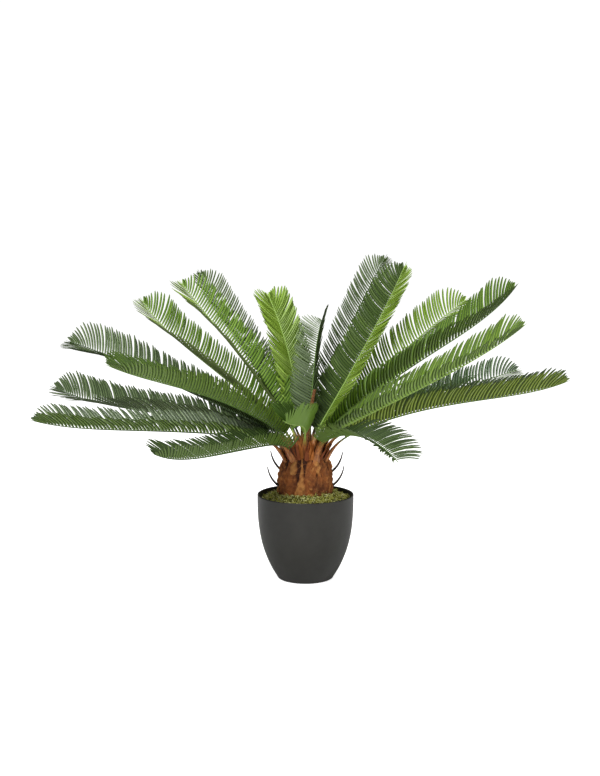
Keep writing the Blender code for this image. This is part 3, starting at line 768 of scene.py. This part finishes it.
def makeSpines():
    # thin hooks: a tapered tube whose inclination rises evenly from start to start plus curl
    form = spineForm
    made = mottledFinish("dry tip", form, scale=260, stretch=0.5)
    share = np.linspace(0, 1, form["rows"])
    turn = evenTurn(form["around"])[:, None]
    loss, power = form["taper"]
    radius = (form["radius"] * (1 - loss * share**power))[:, None, None]
    for number, (azimuth, height) in enumerate(form["feet"], start=1):
        bearing = math.radians(azimuth)
        course = heading(np.full_like(share, bearing), np.radians(form["start"] + form["curl"] * share))
        out = heading(np.array(bearing), np.array(0.0))
        surface = trunkSurface(np.array([[bearing]]), np.array([[height]]))[0].item()
        foot = out * (surface + form["proud"]) + np.array([0, 0, height])
        centre = walk(foot, course, form["length"] / (form["rows"] - 1))
        centre[0] -= course[0] * form["sunk"]
        across = np.array([-out[1], out[0], 0.0])
        above = np.cross(course, across)
        rings = centre[:, None] + radius * (across * np.cos(turn) + above[:, None] * np.sin(turn))
        vertices, faces = closedTube(rings)
        addPiece(f"spine_tip_{number}", vertices, faces, [made], [f"spine_{number}"])
    print("spines:", len(form["feet"]))


potForm = {
    "height": 0.180, "rim": 0.101, "foot": 0.0565, "underside": 0.0515, "power": 2.78, "wall": 0.0032,
    "floor": 0.005, "around": 192, "rows": 70, "innerRows": 40, "footRows": 8, "lipRows": 13,
    "footRound": 0.0045, "flatInset": 0.010,  # the flat underside's first ring lies this far in
    "lipRound": 0.0016, "lipStart": 0.0022,
    "floorRound": 0.002, "floorInset": 0.003,
    "tints": (tint(34, 33, 29), tint(39, 38, 34)), "roughness": 0.46, "specular": 0.43,
}


def potRadius(height):
    # steep at the rim and rounding in towards the foot: rim - (rim - foot) (1 - z/h)^power
    fall = (1 - height / potForm["height"]) ** potForm["power"]
    return potForm["rim"] - (potForm["rim"] - potForm["foot"]) * fall


def makePot():
    # a section turned round the Z axis: flat, rounded foot, outer side, half-round lip, inner side and
    # floor, as pairs of radius and height
    form = potForm
    wall, edge, base, brim = form["wall"], form["footRound"], form["floor"], form["height"] - form["lipStart"]
    under, middle, curve = form["underside"], form["rim"] - wall / 2, form["lipRound"]
    corner = [(under + (potRadius(edge) - under) * math.sin(part), edge * (1 - math.cos(part)))
              for part in np.linspace(0, math.pi / 2, form["footRows"])]
    outer = [(potRadius(z), z) for z in np.linspace(edge, brim, form["rows"])[1:]]
    lip = [(middle + wall / 2 * math.cos(part), form["height"] - curve + curve * math.sin(part))
           for part in np.linspace(0, math.pi, form["lipRows"])]
    inner = [(potRadius(z) - wall, z)
             for z in np.linspace(brim, base + form["floorRound"], form["innerRows"])]
    floor = (potRadius(base) - wall - form["floorInset"], base)
    section = np.array([(under - form["flatInset"], 0.0), *corner, *outer, *lip, *inner, floor])
    vertices, faces = closedTube(roundAxis(section[:, :1], evenTurn(form["around"]), section[:, 1:]))
    made = mottledFinish("pot plastic", form, scale=34)
    fine = addMottle(made, scale=1500)
    addBump(made, fine.outputs["Height"], distance=0.0002, strength=0.4)
    addPiece("pot_shell", vertices, faces, [made], ["pot"])
    print("pot:", len(faces), "faces")


mossForm = {
    "atWall": 0.160, "atTrunk": 0.183, "trunkRadius": 0.057, "risePower": 0.7,
    "heap": 0.0045, "heapAzimuth": 300, "around": 240, "rows": 46,
    "lumpWaves": (51, 26, (3, 24), (-90, 90)), "lump": 0.0010,
    "clear": 0.0004,  # gap to the pot's wall
    "wallRows": (0.0003, 0.012, 12),  # rows from this far over the floor to this far below its edge
    "inmost": 0.050,
    "middle": (0.020, 0.151),  # radius and height of the bed's last ring, under the trunk
    "seed": 88, "strands": 3200, "stations": 6, "strandLength": (0.006, 0.012),
    "strandFeet": (0.0575, 0.002),  # least radius, and least gap to the wall
    "strandSunk": 0.001, "strandDeepest": 0.0012, "strandClear": 0.0008, "strandRise": (5, 75),
    "strandCurl": (1.2, 4.2),  # radians
    "strandThick": (0.00045, 0.00090), "strandTaper": 0.55,
    "shares": (0.34, 0.34, 0.20, 0.12),  # of the strands that take each of mossTints
    "tints": (tint(44, 40, 18), tint(104, 104, 44)), "roughness": 0.95, "specular": 0.2,
}
mossTints = ((150, 150, 60), (196, 196, 104), (230, 230, 166), (92, 86, 38))


def mossHeight(angle, radius):
    # rises from the wall to the trunk by the share of the way in to the power 0.7, higher on the heap's
    # side, with low lumps
    form = mossForm
    wall = potRadius(form["atWall"]) - potForm["wall"]
    share = np.clip((wall - radius) / (wall - form["trunkRadius"]), 0, 1)
    lumps = form["lump"] * waves(*form["lumpWaves"], angle, radius * 6)
    heap = form["heap"] * np.cos(angle - math.radians(form["heapAzimuth"])) * share
    return form["atWall"] + (form["atTrunk"] - form["atWall"]) * share ** form["risePower"] + heap + lumps


def makeMoss():
    # the bed, up the pot's wall, over the heap and in under the trunk, and strands that stand out of it
    form = mossForm
    angle = evenTurn(form["around"])
    wall = potRadius(form["atWall"]) - potForm["wall"] - form["clear"]
    radius = np.linspace(wall, form["inmost"], form["rows"])[:, None]
    top = roundAxis(radius, angle, mossHeight(angle, radius))
    over, short, levels = form["wallRows"]
    level = np.linspace(potForm["floor"] + over, form["atWall"] - short, levels)[:, None]
    below = roundAxis(potRadius(level) - potForm["wall"] - form["clear"], angle, level)
    under, floor = form["middle"]
    vertices, faces = closedTube(np.concatenate([below, top, roundAxis(under, angle, floor)[None]]))
    made = mottledFinish("moss bed", form, scale=240, bump=(0.003, 1.0))
    addPiece("moss_bed", vertices, faces, [made], ["moss_filling"])
    # curled strands: each a thin three-sided tube on part of a circle
    dice = np.random.default_rng(form["seed"])
    count, rows = form["strands"], form["stations"]
    azimuth = dice.uniform(0, math.tau, count)
    near, gap = form["strandFeet"]
    reach = np.sqrt(dice.uniform(near**2, (wall - gap) ** 2, count))
    ground = mossHeight(azimuth, reach)
    start = roundAxis(reach, azimuth, ground - form["strandSunk"])
    facing = dice.uniform(0, math.tau, count)
    first = heading(facing, np.radians(dice.uniform(*form["strandRise"], count)))
    other = unit(np.cross(first, unit(dice.normal(0, 1, (count, 3)))))
    curl = dice.uniform(*form["strandCurl"], count)[:, None]
    size = dice.uniform(*form["strandLength"], count)[:, None]
    part = np.linspace(0, 1, rows)[None, :]
    centre = start[:, None] + first[:, None] * (size / curl * np.sin(curl * part))[..., None]
    centre = centre + other[:, None] * (size / curl * (1 - np.cos(curl * part)))[..., None]
    centre[..., 2] = np.maximum(centre[..., 2], ground[:, None] - form["strandDeepest"])
    flat = np.hypot(centre[..., 0], centre[..., 1])
    centre[..., :2] *= (np.clip(flat, 0.0, wall - form["strandClear"]) / flat)[..., None]
    course = unit(np.gradient(centre, axis=1))
    # any direction that is never along the course, to take a strand's sides from
    lead = first[:, None] * 0.3 + other[:, None] + np.array([0.02, 0.01, 0.7])
    side = unit(np.cross(course, lead))
    above = np.cross(side, course)
    thick = dice.uniform(*form["strandThick"], count)[:, None] * (1 - form["strandTaper"] * part)
    turn = evenTurn(3)
    turned = side[:, :, None] * np.cos(turn)[:, None] - above[:, :, None] * np.sin(turn)[:, None]
    rings = centre[:, :, None] + thick[:, :, None, None] * turned
    points = 3 * rows
    shell = np.vstack([gridFaces(rows, 3), [[2, 1, 0, -1]], [[points - 3, points - 2, points - 1, -1]]])
    faces = repeatFaces(shell, count, points)
    slots = np.repeat(dice.choice(len(mossTints), count, p=form["shares"]), len(shell))
    finishes = [finish(f"moss strand {number}", 0.85, tint(*colour), specular=0.25)
                for number, colour in enumerate(mossTints, start=1)]
    addPiece("moss_strands", rings.reshape(-1, 3), faces, finishes, ["moss_filling"], slots)
    print("moss:", count, "strands")


studio = {
    "camera": (-0.0115, -2.8, 0.775), "pitch": 7.56, "lens": 63.09, "floorSize": 30.0,
    "ambient": 0.26, "backdrop": 1.05, "paperGlow": 0.8,
    # name: place, aim, size, power
    "lamps": {
        "key": ((-1.5, -2.4, 2.6), (0, 0, 0.35), 1.1, 92.0),
        "fill": ((2.4, -2.0, 1.6), (0, 0, 0.35), 1.6, 34.0),
        "top": ((0.2, 0.6, 3.0), (0, 0, 0.3), 1.6, 62.0),
    },
}


def makeStudio():
    # a pale floor, a white world, three soft round lamps, and the camera at the photograph's angle
    half = studio["floorSize"] / 2
    mesh = bpy.data.meshes.new("studio_floor")
    corners = [(-half, -half, 0), (half, -half, 0), (half, half, 0), (-half, half, 0)]
    mesh.from_pydata(corners, [], [(0, 1, 2, 3)])
    floor = addObject("studio_floor", mesh)
    paper = finish("studio paper", 0.9, (0.93, 0.93, 0.93, 1.0), 0.1)
    # the paper glows for the camera alone, so that it reads white without lighting the plant from below
    tree = paper.node_tree
    shader = tree.nodes["Principled BSDF"]
    ray, glow = newNodes(tree, "LightPath", "Math")
    glow.operation = "MULTIPLY"
    fill(shader, {"Emission Color": (1, 1, 1, 1)})
    fill(glow, {1: studio["paperGlow"]})
    join(tree, (ray, "Is Camera Ray", glow, 0), (glow, 0, shader, "Emission Strength"))
    mesh.materials.append(paper)
    world = bpy.data.worlds.new("studio")
    bpy.context.scene.world = world
    world.use_nodes = True
    tree = world.node_tree
    # it lights the plant softly, and the camera alone sees it brighter
    light = tree.nodes["Background"]
    seen, path, either = newNodes(tree, "Background", "LightPath", "MixShader")
    for sky, strength in ((light, studio["ambient"]), (seen, studio["backdrop"])):
        fill(sky, {"Color": (1, 1, 1, 1), "Strength": strength})
    join(tree, (path, "Is Camera Ray", either, 0), (light, 0, either, 1), (seen, 0, either, 2),
         (either, 0, tree.nodes["World Output"], "Surface"))
    for name, (place, aim, size, power) in studio["lamps"].items():
        lamp = bpy.data.lights.new(name, "AREA")
        lamp.shape, lamp.size, lamp.energy = "DISK", size, power
        holder = addObject(name, lamp)
        holder.location = place
        east, north, up = np.array(place) - np.array(aim)
        tip, swing = math.atan2(math.hypot(east, north), up), math.atan2(north, east) + math.pi / 2
        holder.rotation_euler = (tip, 0, swing)
    lens = bpy.data.cameras.new("camera")
    lens.lens, lens.sensor_width, lens.clip_end = studio["lens"], 36.0, 60.0
    camera = addObject("camera", lens)
    camera.location = studio["camera"]
    camera.rotation_euler = (math.radians(90 - studio["pitch"]), 0, 0)
    bpy.context.scene.camera = camera
    bpy.context.scene.view_settings.view_transform = "Standard"
    print("studio:", len(studio["lamps"]), "lamps")


makeStudio()
makePot()
makeMoss()
makeTrunk()
makeBracts()
makeShoot()
makeSpines()
makeFronds()

bpy.context.view_layer.update()
